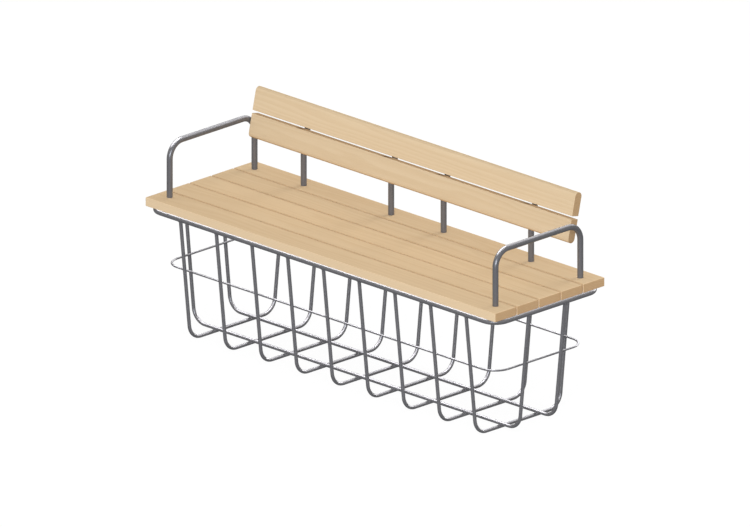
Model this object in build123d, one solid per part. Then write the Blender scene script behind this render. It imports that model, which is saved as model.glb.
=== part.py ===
# Gabion bench: a slatted seat and back on an open cage of bent round bars.
# Millimetres. +X runs along the seat, +Y to the back, +Z up. The origin is on the ground, midway.

import math
import os

from build123d import *

# Seat deck
SEAT_LENGTH = 1600.0
SEAT_HEIGHT = 470.0          # ground to the top of the slats
SLAT_COUNT = 5
SLAT_WIDTH = 96.0
SLAT_GAP = 5.0
SLAT_THICKNESS = 30.0
EDGE_ROUND = 2.0             # eased edges of the slats and of the boards' long edges

# Back boards
BOARD_WIDTH = 80.0
BOARD_THICKNESS = 30.0
BOARD_GAP = 10.0             # between the lower and the upper board
BOARD_TO_ARM = 4.0           # between a board's end and the armrest beside it
BOARD_END_ROUND = 1.0        # eased edges round the ends of the boards
BACK_TILT = 13.0             # degrees, leaning back
BACK_BEND_HEIGHT = 115.0     # seat to the corner where the back hoops lean back
BACK_GAP_RISE = 84.0         # from that corner, up the slope, to the middle of the board gap

# Round tube of the seat ring, armrests and back hoops
TUBE_DIAMETER = 20.0
TUBE_WALL = 2.0
TUBE_BEND = 55.0             # centreline radius of the armrest and back hoop corners
LEAN_BEND = 120.0            # centreline radius where the back hoops lean back
RING_BEND = 50.0             # centreline radius of the seat ring corners

# Armrests and back hoops
ARM_HEIGHT = 195.0           # seat to the top of the armrest
ARM_END_INSET = 55.0         # end of the seat to the armrest's centreline
LEG_EDGE_INSET = 56.0        # front or rear edge of the seat to a leg's centreline
BACK_LEG_END_INSET = 280.0   # end of the seat to the outer leg of the back hoop there
BACK_LEG_SPACING = 400.0     # between the two legs of a back hoop
RAIL_PLATE_SPACING = 200.0   # between the two plates on the rail of a back hoop

# Cage
BAR_DIAMETER = 12.0
BAR_BEND = 52.0              # centreline radius of the hoops' and runners' corners
BELT_DIAMETER = 7.0
BELT_BEND = 60.0             # centreline radius of the belt's corners
BELT_HEIGHT = 245.0          # ground to the belt's centreline
CAGE_LEAN = 6.2              # degrees that the legs lean inwards on the way down
CAGE_LEG_INSET = 3.0         # seat ring's centreline to where the leg's centreline meets it
HOOP_COUNT = 9
HOOP_END_INSET = 147.0       # end of the seat to the outermost hoops
RUNNER_SPACING = 165.0
FOOT_FLAT = 0.5              # depth of the flat under each hoop

# Cross bearers and board plates
BEARER_WIDTH = 40.0
BEARER_THICKNESS = 10.0
PLATE_LENGTH = 60.0
PLATE_WIDTH = 40.0
PLATE_THICKNESS = 5.0
PLATE_CORNER = 4.0
PLATE_SCREW_SPACING = 40.0

# Fasteners
BOLT_DIAMETER = 10.0
BOLT_GRIP = 20.0             # length of thread inside the plug
BOLT_HEAD_ACROSS = 16.0
BOLT_HEAD_HEIGHT = 6.4
BOLT_HOLE_MARGIN = 0.5       # radial room in the bearer and washer
WASHER_DIAMETER = 20.0
WASHER_THICKNESS = 2.0
PLUG_LENGTH = 30.0
PLUG_SPARE_DEPTH = 4.0       # hole beyond the bolt's tip
SCREW_DIAMETER = 5.0
SCREW_BITE = 22.0            # length of thread inside the timber
SCREW_TIP = 1.5              # chamfer at the tip
SCREW_SPARE_DEPTH = 1.0      # hole beyond the screw's tip
SCREW_HEAD_DIAMETER = 10.0
SCREW_HEAD_HEIGHT = 3.0
SCREW_HEAD_ROUND = 1.2
SCREW_HOLE_MARGIN = 0.2      # radial room in steel
WASHER_TO_SCREW = 4.0        # between a leg's washer and the head of the slat screw beside it

# Fits
CONTACT_GAP = 0.1            # between round bars that touch and are welded
THREAD_GAP = 0.05            # radial room round a thread or a plug
LEG_HOLE_MARGIN = 0.3        # radial room of a leg in its slat

# Levels and half sizes that follow
TUBE_RADIUS = TUBE_DIAMETER / 2
TUBE_BORE = TUBE_DIAMETER - 2 * TUBE_WALL
BAR_RADIUS = BAR_DIAMETER / 2
SLAT_PITCH = SLAT_WIDTH + SLAT_GAP
SEAT_DEPTH = SLAT_COUNT * SLAT_PITCH - SLAT_GAP
DECK_UNDERSIDE = SEAT_HEIGHT - SLAT_THICKNESS
BEARER_UNDERSIDE = DECK_UNDERSIDE - BEARER_THICKNESS
RING_X = SEAT_LENGTH / 2 - TUBE_RADIUS
RING_Y = SEAT_DEPTH / 2 - TUBE_RADIUS
RING_Z = DECK_UNDERSIDE - CONTACT_GAP - TUBE_RADIUS
ARM_X = SEAT_LENGTH / 2 - ARM_END_INSET
LEG_Y = SEAT_DEPTH / 2 - LEG_EDGE_INSET
BOARD_LENGTH = 2 * (ARM_X - TUBE_RADIUS - BOARD_TO_ARM)
CAGE_SLOPE = math.tan(math.radians(CAGE_LEAN))
HOOP_Z = BAR_RADIUS - FOOT_FLAT
RUNNER_Z = HOOP_Z + BAR_DIAMETER + CONTACT_GAP
HOOP_PITCH = (SEAT_LENGTH - 2 * HOOP_END_INSET) / (HOOP_COUNT - 1)

# Places along the bench
SIDES = (-1, 1)
BACK_HOOP_OFFSET = SEAT_LENGTH / 2 - BACK_LEG_END_INSET - BACK_LEG_SPACING / 2
BACK_HOOP_X = [side * BACK_HOOP_OFFSET for side in SIDES]
BACK_LEG_X = [x + side * BACK_LEG_SPACING / 2 for x in BACK_HOOP_X for side in SIDES]
RAIL_PLATE_X = [x + side * RAIL_PLATE_SPACING / 2 for x in BACK_HOOP_X for side in SIDES]
BEARER_X = sorted([-ARM_X, ARM_X] + BACK_LEG_X)
LEG_PLACES = [(side * ARM_X, end * LEG_Y) for side in SIDES for end in SIDES]
LEG_PLACES += [(x, LEG_Y) for x in BACK_LEG_X]
SLAT_Y = [(index - (SLAT_COUNT - 1) / 2) * SLAT_PITCH for index in range(SLAT_COUNT)]
OUTER_SCREW_Y = LEG_Y - (WASHER_DIAMETER + SCREW_HEAD_DIAMETER) / 2 - WASHER_TO_SCREW
SLAT_SCREW_Y = [-OUTER_SCREW_Y] + SLAT_Y[1:-1] + [OUTER_SCREW_Y]

# The sloping back: local X along the bench, Y up the slope, Z out of the front of the boards
BACK = Plane(
    origin=(0, LEG_Y, SEAT_HEIGHT + BACK_BEND_HEIGHT),
    x_dir=(1, 0, 0),
    z_dir=(0, -math.cos(math.radians(BACK_TILT)), math.sin(math.radians(BACK_TILT))),
)
PLATE_BACK = TUBE_RADIUS + CONTACT_GAP
BOARD_BACK = PLATE_BACK + PLATE_THICKNESS
LOWER_MIDDLE = BACK_GAP_RISE - (BOARD_GAP + BOARD_WIDTH) / 2
UPPER_MIDDLE = BACK_GAP_RISE + (BOARD_GAP + BOARD_WIDTH) / 2
PLATE_SCREWS = [side * PLATE_SCREW_SPACING / 2 for side in SIDES]
LOWER_SCREWS = [(x + offset, LOWER_MIDDLE) for x in BACK_LEG_X for offset in PLATE_SCREWS]
UPPER_SCREWS = [(x, UPPER_MIDDLE + offset) for x in RAIL_PLATE_X for offset in PLATE_SCREWS]

ON_BASE = (Align.CENTER, Align.CENTER, Align.MIN)
UNDER_BASE = (Align.CENTER, Align.CENTER, Align.MAX)


def round_sweep(path, diameter, bore):
    """Round bar, or tube with a bore, along a path."""
    start = Plane(origin=path @ 0, z_dir=path % 0)
    section = start * Circle(diameter / 2)
    if bore:
        section -= start * Circle(bore / 2)
    return sweep(section, path=path)


def bent_bar(points, bends, diameter, bore=0.0):
    """Bar or tube along straight runs joined by arcs."""
    return round_sweep(FilletPolyline(*points, radius=bends), diameter, bore)


def bent_loop(half_x, half_y, z, bend, diameter, bore=0.0):
    """Closed bar or tube along a level rounded rectangle."""
    outline = Pos(0, 0, z) * RectangleRounded(2 * half_x, 2 * half_y, bend)
    return round_sweep(outline.wire(), diameter, bore)


def leg_inset(z, clearance=0.0):
    """Inset from the seat ring's centreline to a cage leg's, or to what lies inside it by a clearance."""
    return CAGE_LEG_INSET + (RING_Z - z) * CAGE_SLOPE + clearance / math.cos(math.radians(CAGE_LEAN))


def seat_ring():
    """Tube loop under the edge of the slats."""
    return bent_loop(RING_X, RING_Y, RING_Z, RING_BEND, TUBE_DIAMETER, TUBE_BORE)


def ring_envelope():
    """Space that the seat ring and its weld gap take up."""
    return bent_loop(RING_X, RING_Y, RING_Z, RING_BEND, TUBE_DIAMETER + 2 * CONTACT_GAP)


def cage_hoop(x, envelope):
    """Cross hoop that the bench stands on, its legs coped to the seat ring, flat underneath."""
    top = RING_Y - CAGE_LEG_INSET
    low = RING_Y - leg_inset(HOOP_Z)
    points = [(x, -top, RING_Z), (x, -low, HOOP_Z), (x, low, HOOP_Z), (x, top, RING_Z)]
    ground = Pos(x, 0, 0) * Box(BAR_DIAMETER, SEAT_DEPTH, BAR_DIAMETER, align=UNDER_BASE)
    return bent_bar(points, BAR_BEND, BAR_DIAMETER) - envelope - ground


def cage_runner(y, envelope):
    """Lengthwise bar lying on the hoops, its ends coped to the seat ring."""
    top = RING_X - CAGE_LEG_INSET
    low = RING_X - leg_inset(RUNNER_Z)
    points = [(-top, y, RING_Z), (-low, y, RUNNER_Z), (low, y, RUNNER_Z), (top, y, RING_Z)]
    return bent_bar(points, BAR_BEND, BAR_DIAMETER) - envelope


def cage_belt():
    """Thin loop against the inside of all the cage legs."""
    inset = leg_inset(BELT_HEIGHT, BAR_RADIUS + BELT_DIAMETER / 2 + CONTACT_GAP)
    return bent_loop(RING_X - inset, RING_Y - inset, BELT_HEIGHT, BELT_BEND, BELT_DIAMETER)


def armrest(x):
    """Inverted U of tube that stands on a bearer through the front and rear slats."""
    rail = SEAT_HEIGHT + ARM_HEIGHT - TUBE_RADIUS
    foot = DECK_UNDERSIDE
    points = [(x, -LEG_Y, foot), (x, -LEG_Y, rail), (x, LEG_Y, rail), (x, LEG_Y, foot)]
    return bent_bar(points, TUBE_BEND, TUBE_DIAMETER, TUBE_BORE)


def back_hoop(x):
    """Inverted U of tube, upright through the rear slat, then leaning back behind the boards."""
    left, right = [x + side * BACK_LEG_SPACING / 2 for side in SIDES]
    points = [
        Vector(left, LEG_Y, DECK_UNDERSIDE),
        BACK.from_local_coords(Vector(left, 0, 0)),
        BACK.from_local_coords(Vector(left, UPPER_MIDDLE, 0)),
        BACK.from_local_coords(Vector(right, UPPER_MIDDLE, 0)),
        BACK.from_local_coords(Vector(right, 0, 0)),
        Vector(right, LEG_Y, DECK_UNDERSIDE),
    ]
    bends = [LEAN_BEND, TUBE_BEND, TUBE_BEND, LEAN_BEND]
    return bent_bar(points, bends, TUBE_DIAMETER, TUBE_BORE)


def seat_slat(index):
    """One slat, with holes for the legs that stand in it and for its screws."""
    slat = fillet(Box(SEAT_LENGTH, SLAT_WIDTH, SLAT_THICKNESS, align=ON_BASE).edges(), EDGE_ROUND)
    slat = Pos(0, SLAT_Y[index], DECK_UNDERSIDE) * slat
    leg_hole = Cylinder(TUBE_RADIUS + LEG_HOLE_MARGIN, SLAT_THICKNESS, align=ON_BASE)
    for leg_x, leg_y in LEG_PLACES:
        slat -= Pos(leg_x, leg_y, DECK_UNDERSIDE) * leg_hole
    for x in BEARER_X:
        slat -= Pos(x, SLAT_SCREW_Y[index], DECK_UNDERSIDE) * screw_hole()
    return slat


def back_board(middle, round_side, screws):
    """One back board, its upper (1) or lower (-1) edge fully rounded, with holes for its screws behind."""
    radius = BOARD_THICKNESS / 2
    square = Rectangle(BOARD_THICKNESS, BOARD_WIDTH - radius)
    corners = square.vertices().group_by(Axis.Y)[0 if round_side > 0 else -1]
    square = Pos(0, -round_side * radius / 2) * fillet(corners, EDGE_ROUND)
    profile = square + Pos(0, round_side * (BOARD_WIDTH / 2 - radius)) * Circle(radius)
    left_end = (-BOARD_LENGTH / 2, middle, BOARD_BACK + radius)
    across = Plane(origin=left_end, x_dir=(0, 0, -1), z_dir=(1, 0, 0))
    board = extrude(across * profile, amount=BOARD_LENGTH)
    ends = board.faces().sort_by(Axis.X)
    board = fillet(ends[0].edges() + ends[-1].edges(), BOARD_END_ROUND)
    for x, rise in screws:
        board -= Pos(x, rise, BOARD_BACK) * screw_hole()
    return BACK * board


def board_plate(x, rise, turn):
    """Flat plate between a back hoop and a board, its length turned from the bench's by some degrees."""
    plate = Box(PLATE_LENGTH, PLATE_WIDTH, PLATE_THICKNESS, align=ON_BASE)
    plate = fillet(plate.edges().filter_by(Axis.Z), PLATE_CORNER)
    hole = Cylinder(SCREW_DIAMETER / 2 + SCREW_HOLE_MARGIN, PLATE_THICKNESS, align=ON_BASE)
    for offset in PLATE_SCREWS:
        plate -= Pos(offset, 0, 0) * hole
    return BACK * Pos(x, rise, PLATE_BACK) * Rot(0, 0, turn) * plate


def ring_inside():
    """Upright space inside the seat ring, as deep as a bearer."""
    side = TUBE_RADIUS + CONTACT_GAP
    outline = RectangleRounded(2 * (RING_X - side), 2 * (RING_Y - side), RING_BEND - side)
    return extrude(Pos(0, 0, BEARER_UNDERSIDE) * outline, amount=BEARER_THICKNESS)


def cross_bearer(x, inside):
    """Flat bar across the seat ring, with holes for slat screws and for the bolts of the legs on it."""
    bearer = Box(BEARER_WIDTH, SEAT_DEPTH, BEARER_THICKNESS, align=ON_BASE)
    bearer = Pos(x, 0, BEARER_UNDERSIDE) * bearer & inside
    screw_way = Cylinder(SCREW_DIAMETER / 2 + SCREW_HOLE_MARGIN, BEARER_THICKNESS, align=ON_BASE)
    bolt_way = Cylinder(BOLT_DIAMETER / 2 + BOLT_HOLE_MARGIN, BEARER_THICKNESS, align=ON_BASE)
    for y in SLAT_SCREW_Y:
        bearer -= Pos(x, y, BEARER_UNDERSIDE) * screw_way
    for leg_x, leg_y in LEG_PLACES:
        if leg_x == x:
            bearer -= Pos(x, leg_y, BEARER_UNDERSIDE) * bolt_way
    return bearer


def screw_hole():
    """Blind hole for a screw's thread, going up from the face of the timber."""
    return Cylinder(SCREW_DIAMETER / 2 + THREAD_GAP, SCREW_BITE + SCREW_SPARE_DEPTH, align=ON_BASE)


def screw(steel):
    """Round-head screw pointing up, seated under a steel thickness that stands on the level zero."""
    shank = Cylinder(SCREW_DIAMETER / 2, steel + SCREW_BITE, align=ON_BASE)
    shank = chamfer(shank.edges().sort_by(Axis.Z)[-1], SCREW_TIP)
    head = Cylinder(SCREW_HEAD_DIAMETER / 2, SCREW_HEAD_HEIGHT, align=UNDER_BASE)
    return fillet(head.edges().sort_by(Axis.Z)[0], SCREW_HEAD_ROUND) + shank


def leg_plug():
    """Threaded plug inside the foot of a leg, standing on the level zero."""
    plug = Cylinder(TUBE_BORE / 2 - THREAD_GAP, PLUG_LENGTH, align=ON_BASE)
    return plug - Cylinder(BOLT_DIAMETER / 2 + THREAD_GAP, BOLT_GRIP + PLUG_SPARE_DEPTH, align=ON_BASE)


def leg_washer():
    """Washer hanging from the level zero."""
    washer = Cylinder(WASHER_DIAMETER / 2, WASHER_THICKNESS, align=UNDER_BASE)
    return washer - Cylinder(BOLT_DIAMETER / 2 + BOLT_HOLE_MARGIN, WASHER_THICKNESS, align=UNDER_BASE)


def leg_bolt():
    """Hexagon bolt pointing up, its head under the level zero."""
    head = extrude(RegularPolygon(BOLT_HEAD_ACROSS / 2, 6, major_radius=False), amount=-BOLT_HEAD_HEIGHT)
    return head + Cylinder(BOLT_DIAMETER / 2, WASHER_THICKNESS + BEARER_THICKNESS + BOLT_GRIP, align=ON_BASE)


def copies(piece, places):
    """The same small piece at several places, as separate solids."""
    return Compound(children=[place * piece for place in places])


def save(name, piece):
    export_step(piece, f"parts/{name}.step")


os.makedirs("parts", exist_ok=True)

for index in range(SLAT_COUNT):
    save(f"seat_slat_{index + 1}", seat_slat(index))
save("back_board_lower", back_board(LOWER_MIDDLE, -1, LOWER_SCREWS))
save("back_board_upper", back_board(UPPER_MIDDLE, 1, UPPER_SCREWS))

save("seat_ring", seat_ring())
inside = ring_inside()
for index, x in enumerate(BEARER_X):
    save(f"cross_bearer_{index + 1}", cross_bearer(x, inside))

envelope = ring_envelope()
for index in range(HOOP_COUNT):
    hoop_x = (index - (HOOP_COUNT - 1) / 2) * HOOP_PITCH
    save(f"cage_hoop_{index + 1}", cage_hoop(hoop_x, envelope))
save("cage_runner_front", cage_runner(-RUNNER_SPACING / 2, envelope))
save("cage_runner_rear", cage_runner(RUNNER_SPACING / 2, envelope))
save("cage_belt", cage_belt())

for name, side, hoop_x in zip(("left", "right"), SIDES, BACK_HOOP_X):
    save(f"{name}_armrest", armrest(side * ARM_X))
    save(f"{name}_back_hoop", back_hoop(hoop_x))

for index, x in enumerate(BACK_LEG_X):
    save(f"leg_plate_{index + 1}", board_plate(x, LOWER_MIDDLE, 0))
for index, x in enumerate(RAIL_PLATE_X):
    save(f"rail_plate_{index + 1}", board_plate(x, UPPER_MIDDLE, 90))

save("leg_plugs", copies(leg_plug(), [Pos(x, y, DECK_UNDERSIDE) for x, y in LEG_PLACES]))
save("leg_washers", copies(leg_washer(), [Pos(x, y, BEARER_UNDERSIDE) for x, y in LEG_PLACES]))
bolt_seat = BEARER_UNDERSIDE - WASHER_THICKNESS
save("leg_bolts", copies(leg_bolt(), [Pos(x, y, bolt_seat) for x, y in LEG_PLACES]))
slat_screw_places = [Pos(x, y, BEARER_UNDERSIDE) for x in BEARER_X for y in SLAT_SCREW_Y]
save("slat_screws", copies(screw(BEARER_THICKNESS), slat_screw_places))
board_screw_places = [BACK.location * Pos(x, rise, PLATE_BACK) for x, rise in LOWER_SCREWS + UPPER_SCREWS]
save("board_screws", copies(screw(PLATE_THICKNESS), board_screw_places))
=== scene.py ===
"""Gabion bench: the finish of its timber and steel, its weld beads and its fasteners, on a plain stage.

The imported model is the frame. Its slats, boards, tubes and bars keep their shape and get their finish here.
Weld beads are added, and the screws and bolts are replaced by detailed ones. Lengths are in metres.
"""

import math

import bpy
from mathutils import Matrix, Vector


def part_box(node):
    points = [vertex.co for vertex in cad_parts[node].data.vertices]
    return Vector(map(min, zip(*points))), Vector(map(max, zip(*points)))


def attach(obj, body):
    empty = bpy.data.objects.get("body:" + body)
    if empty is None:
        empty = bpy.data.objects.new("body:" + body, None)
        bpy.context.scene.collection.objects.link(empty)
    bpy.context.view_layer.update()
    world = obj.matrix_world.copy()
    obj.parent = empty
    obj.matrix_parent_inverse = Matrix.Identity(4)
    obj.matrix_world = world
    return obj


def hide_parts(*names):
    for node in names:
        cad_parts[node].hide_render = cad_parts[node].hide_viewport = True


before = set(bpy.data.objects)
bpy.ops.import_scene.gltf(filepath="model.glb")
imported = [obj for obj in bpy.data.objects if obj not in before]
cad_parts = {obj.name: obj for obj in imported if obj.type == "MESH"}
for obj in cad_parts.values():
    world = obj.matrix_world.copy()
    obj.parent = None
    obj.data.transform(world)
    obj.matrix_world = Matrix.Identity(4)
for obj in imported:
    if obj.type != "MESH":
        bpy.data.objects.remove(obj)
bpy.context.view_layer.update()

bl_info = {
    "name": "Gabion bench",
    "version": (1, 0, 0),
    "blender": (4, 5, 0),
    "location": "View3D > Sidebar > Bench",
    "description": "Finishes, weld beads and fasteners of a gabion bench, with its stage",
    "category": "Object",
}

SLATS = [f"seat_slat_{number}" for number in range(1, 6)]
BOARDS = ["back_board_lower", "back_board_upper"]
HOOPS = [f"cage_hoop_{number}" for number in range(1, 10)]
RUNNERS = ["cage_runner_front", "cage_runner_rear"]
BEARERS = [f"cross_bearer_{number}" for number in range(1, 7)]
LEG_PLATES = [f"leg_plate_{number}" for number in range(1, 5)]
RAIL_PLATES = [f"rail_plate_{number}" for number in range(1, 5)]
ARMRESTS = ["left_armrest", "right_armrest"]
BACK_HOOPS = ["left_back_hoop", "right_back_hoop"]
TIMBER = SLATS + BOARDS
ABOVE_RING = TIMBER + ARMRESTS + BACK_HOOPS
ROUND_STEEL = ["seat_ring", "cage_belt", *HOOPS, *RUNNERS, *ARMRESTS, *BACK_HOOPS]
FLAT_STEEL = [*BEARERS, *LEG_PLATES, *RAIL_PLATES]

# For each slat and board: how far behind and above its middle the heart of its log lay, and how pale it was.
LOGS = (
    (0.02, -0.10, 1.0),
    (-0.03, -0.14, 0.99),
    (0.01, -0.09, 1.01),
    (0.03, 0.12, 0.99),
    (-0.02, -0.11, 1.01),
    (0.12, -0.05, 0.95),
    (0.10, 0.01, 1.0),
)
LOG_SEED_STEP = 4.7          # from the noise of one slat or board to the next one's

# Timber figure: waves per metre along the grain and across it, both ways
WANDER_WAVES = (1.3, 13.0, 13.0)
STREAK_WAVES = (1.1, 42.0, 42.0)
FIBRE_WAVES = (16.0, 620.0, 620.0)
PORE_WAVES = (70.0, 1100.0, 1100.0)

# Timber figure: between which values each part of it comes in, and the late wood goes out again
LATE_WOOD_RISE = (0.15, 0.80)
LATE_WOOD_FALL = (0.88, 1.0)
STREAK_RISE = (0.30, 0.70)
PORE_RISE = (0.62, 0.74)
END_RISE = (0.6, 0.95)
SIDE_RISE = (0.5, 0.9)

# Timber figure: how far its parts go to the darker colour, and their shares of its relief
WANDER_RINGS = 5.0           # growth rings that the figure wanders by
END_RINGS = 2.5              # ring contrast on a sawn end, against the long faces
STREAK_SHARE = 0.10
FIBRE_SHARE = 0.21
PORE_SHARE = 0.13
FIBRE_HEIGHT = 0.6
PORE_DEPTH = 0.8
RING_HEIGHT = 0.5
TIMBER_ROUGHNESS = (0.52, 0.64)
TIMBER_BUMP = 0.35
EDGE_SHADE_OFF = 1.0            # how far off a long edge is put that is to get no painted shade

# Zinc: waves per metre, and how much each of its parts dulls it
CLOUD_WAVES = (14.0, 14.0, 14.0)
GRAIN_WAVES = (900.0, 900.0, 900.0)
CLOUD_RISE = (0.3, 0.7)
PATCH_DULLNESS = 0.35
CLOUD_DULLNESS = 0.45
GRAIN_DULLNESS = 0.20
PATCH_HEIGHT = 0.3
ZINC_BUMP = 0.30

# Weld beads and lumps: lengths in radii of their bead, or of the bar or tube that is named
LEG_BEAD_RIPPLES = 12        # round one leg
RIPPLE_LENGTH = 2.2          # of a straight bead
TAPER = 3.0                  # how sharply a straight bead's ends round off
POLE_RADIUS = 1e-5           # points this near the axis of a ball of radius 1 are its poles
LUMP_WAVES = (5, 4)          # unevenness of a lump's skin, along it and across it
LUMP_SHIFTS = (2, 1)         # where those waves start
CROSSING_LUMP_BARS = (0.85, 0.85, 0.36)
BELT_LUMP_BEADS = (3.2, 1.0, 2.4)
BEARER_BEAD_INWARDS = 0.5
BEARER_BEAD_BELOW = 0.3
PLATE_BEAD_ASIDE_TUBES = 0.42
PLATE_BEAD_BEHIND = 1.7
PLATE_BEAD_WIDTH = 0.9
PLATE_BEAD_LENGTH = 0.85203  # share of the plate's height

# Fastener shapes
HEAD_ROUNDING = 0.4          # share of a screw head's height
CHAMFER_ANGLE = math.radians(30)
CHAMFER_START = 0.95         # share of a bolt head's half width
MERGE_DISTANCE = 2e-6
SMOOTH_ANGLE = math.radians(40)

# Light
BENCH_MIDDLE = (0, 0, 0.4)
PANEL_DISTANCE = 5.0
PANEL_COLOUR = (0.98, 0.98, 1.03)


class TimberFinish(bpy.types.PropertyGroup):
    """Pale planed softwood under a clear matt oil."""

    pale: bpy.props.FloatVectorProperty(
        name="Early wood", description="Colour of the pale bands", subtype="COLOR",
        default=(0.750, 0.560, 0.349))
    dark: bpy.props.FloatVectorProperty(
        name="Late wood", description="Colour of the darker bands", subtype="COLOR",
        default=(0.560, 0.370, 0.190))
    ring_spacing: bpy.props.FloatProperty(
        name="Ring spacing", description="Width of one growth ring", subtype="DISTANCE", default=0.0048)
    ring_share: bpy.props.FloatProperty(
        name="Ring contrast", description="How far the rings go to the darker colour", subtype="FACTOR",
        default=0.14)
    end_tint: bpy.props.FloatVectorProperty(
        name="End grain tint", description="What the sawn ends make of the colour", subtype="COLOR",
        default=(0.73, 0.64, 0.556))
    board_tint: bpy.props.FloatVectorProperty(
        name="Board tint", description="What the back boards make of the colour", subtype="COLOR",
        default=(0.914, 0.931, 0.946))
    board_figure: bpy.props.FloatProperty(
        name="Board figure", description="Strength of the boards' figure against the slats'",
        subtype="FACTOR", default=1.2)
    # Painted shade: darker colour along the long edges beside the gaps and under the lower board
    edge_shade: bpy.props.FloatVectorProperty(
        name="Edge tint", description="What the weathered long edges make of the colour", subtype="COLOR",
        default=(0.80, 0.70, 0.58))
    edge_reach: bpy.props.FloatProperty(
        name="Edge reach", description="How far the painted shade reaches from a long edge",
        subtype="DISTANCE", default=0.004)
    relief: bpy.props.FloatProperty(
        name="Grain relief", description="Height of the grain", subtype="DISTANCE", default=0.0003)


class SteelFinish(bpy.types.PropertyGroup):
    """Satin grey zinc on the frame and brighter zinc on the fasteners."""

    bright: bpy.props.FloatVectorProperty(
        name="Zinc bright", description="Colour of the bright patches", subtype="COLOR",
        default=(0.146, 0.140, 0.143))
    dull: bpy.props.FloatVectorProperty(
        name="Zinc dull", description="Colour of the dull patches", subtype="COLOR",
        default=(0.114, 0.110, 0.112))
    weld: bpy.props.FloatVectorProperty(
        name="Weld", description="Colour of the weld beads", subtype="COLOR",
        default=(0.140, 0.135, 0.137))
    plated: bpy.props.FloatVectorProperty(
        name="Plated fasteners", description="Colour of screws and bolts", subtype="COLOR",
        default=(0.42, 0.42, 0.43))
    patch_size: bpy.props.FloatProperty(
        name="Patch size", description="Width of the zinc's crystal patches", subtype="DISTANCE",
        default=0.007)
    relief: bpy.props.FloatProperty(
        name="Zinc relief", description="Height of the zinc's unevenness", subtype="DISTANCE",
        default=0.00012)


class FrameSizes(bpy.types.PropertyGroup):
    """Sizes of the steel that the weld beads and fasteners follow."""

    tube: bpy.props.FloatProperty(
        name="Tube radius", description="Radius of the seat ring and hoops' tube", subtype="DISTANCE",
        default=0.010)
    bar: bpy.props.FloatProperty(
        name="Bar radius", description="Radius of the cage bars", subtype="DISTANCE", default=0.006)
    leg_inset: bpy.props.FloatProperty(
        name="Leg inset", description="Ring's centreline to a cage leg's, at the same level",
        subtype="DISTANCE", default=0.003)
    leg_lean: bpy.props.FloatProperty(
        name="Leg lean", description="Lean of the cage legs", subtype="ANGLE", default=math.radians(6.2))
    back_tilt: bpy.props.FloatProperty(
        name="Back tilt", description="Lean of the back boards", subtype="ANGLE",
        default=math.radians(13))
    bead: bpy.props.FloatProperty(
        name="Bead radius", description="Half the width of a weld bead", subtype="DISTANCE",
        default=0.0019)
    small_bead: bpy.props.FloatProperty(
        name="Small bead radius", description="Half the width of a bead on the belt", subtype="DISTANCE",
        default=0.0014)
    ripple: bpy.props.FloatProperty(
        name="Ripple", description="Swell of the bead's ripples, as a share of its radius",
        subtype="FACTOR", default=0.16)


class FastenerSizes(bpy.types.PropertyGroup):
    """Sizes of the screws and bolts."""

    screw: bpy.props.FloatProperty(
        name="Screw radius", description="Radius of a screw's shank", subtype="DISTANCE", default=0.0025)
    screw_bite: bpy.props.FloatProperty(
        name="Screw bite", description="Length of a screw in the timber", subtype="DISTANCE",
        default=0.022)
    head: bpy.props.FloatProperty(
        name="Screw head radius", description="Radius of a screw's head", subtype="DISTANCE",
        default=0.005)
    head_height: bpy.props.FloatProperty(
        name="Screw head height", description="Height of a screw's head", subtype="DISTANCE",
        default=0.003)
    socket: bpy.props.FloatProperty(
        name="Socket radius", description="Half the width of the hexagon socket over its corners",
        subtype="DISTANCE", default=0.0023)
    socket_depth: bpy.props.FloatProperty(
        name="Socket depth", description="Depth of the hexagon socket", subtype="DISTANCE",
        default=0.0018)
    plate_screw_spacing: bpy.props.FloatProperty(
        name="Plate screw spacing", description="Between the two screws of a board plate",
        subtype="DISTANCE", default=0.040)
    bolt: bpy.props.FloatProperty(
        name="Bolt radius", description="Radius of a leg bolt's shank", subtype="DISTANCE",
        default=0.005)
    bolt_head: bpy.props.FloatProperty(
        name="Bolt head", description="Width of a leg bolt's head across its flats", subtype="DISTANCE",
        default=0.016)
    bolt_head_height: bpy.props.FloatProperty(
        name="Bolt head height", description="Height of a leg bolt's head", subtype="DISTANCE",
        default=0.0064)


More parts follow.
